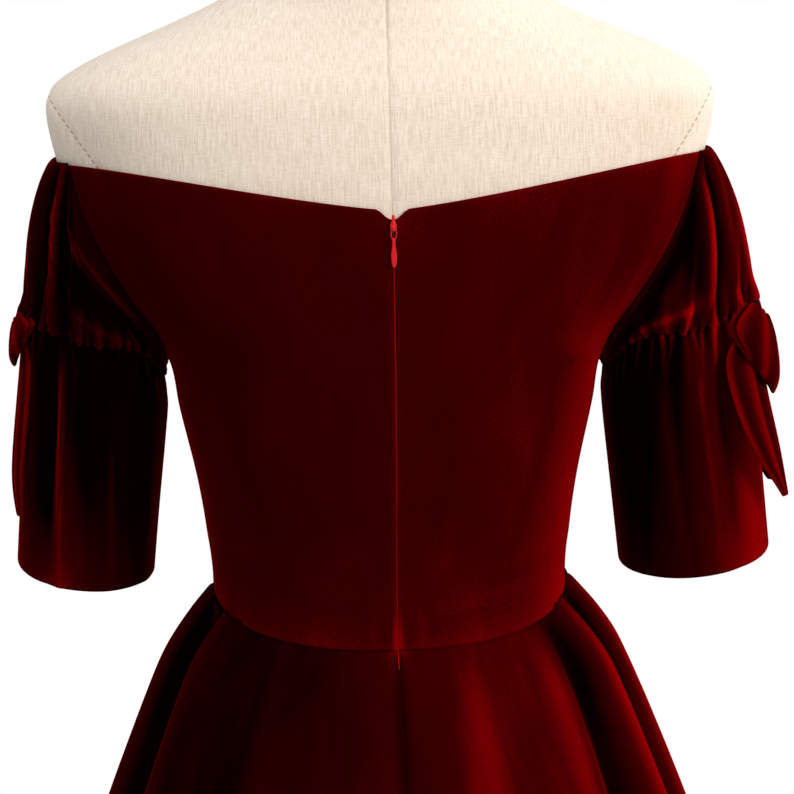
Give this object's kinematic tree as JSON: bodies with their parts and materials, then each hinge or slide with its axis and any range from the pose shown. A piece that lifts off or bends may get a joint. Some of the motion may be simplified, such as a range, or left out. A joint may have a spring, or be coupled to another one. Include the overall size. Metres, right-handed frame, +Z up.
{
  "type": "off-shoulder velvet dress on a limbless dress form",
  "caption": "Off-shoulder velvet dress with puffed elbow sleeves, sleeve bows, a back zip and a flared skirt, worn by a linen dress form on a round stand.",
  "frame": {"origin": "centre of the underside of the stand's round base", "axes": "+Z up along the pole, -Y the way the form faces, +Y its back with the zip, +X the wearer's left"},
  "size_m": [0.7135, 0.6396, 1.54],
  "materials": {
    "velvet": "silk-like pile velvet, deep red",
    "form_linen": "plain woven slubbed linen cover, cream",
    "cap_wood": "varnished beech",
    "stand_steel": "black satin enamel",
    "zip_tape": "polyester coil, dark red",
    "zip_enamel": "gloss red enamel on zinc"
  },
  "bodies": {
    "dress_on_form": {"form_torso": "form_linen", "neck_cap": "cap_wood", "stand_flange": "stand_steel", "stand_pole": "stand_steel", "stand_base": "stand_steel", "bodice_back_left": "velvet", "bodice_back_right": "velvet", "bodice_side_front_left": "velvet", "bodice_side_front_right": "velvet", "bodice_front_centre": "velvet", "skirt_back_left": "velvet", "skirt_back_right": "velvet", "skirt_front": "velvet", "sleeve_puff_left": "velvet", "sleeve_lower_left": "velvet", "sleeve_puff_right": "velvet", "sleeve_lower_right": "velvet", "bow_knot_left": "velvet", "bow_loop_back_left": "velvet", "bow_tail_back_left": "velvet", "bow_loop_front_left": "velvet", "bow_tail_front_left": "velvet", "bow_knot_right": "velvet", "bow_loop_back_right": "velvet", "bow_tail_back_right": "velvet", "bow_loop_front_right": "velvet", "bow_tail_front_right": "velvet", "zip_coil": "zip_tape", "zip_slider": "zip_enamel"},
    "pull_tab": {"zip_pull": "zip_enamel"}
  },
  "joints": [
    {"name": "pull_hinge", "type": "hinge", "parent": "dress_on_form", "child": "pull_tab", "pos_m": [0, 0.10679, 1.266], "axis": [1, 0, 0], "range_deg": [0, 150]}
  ]
}
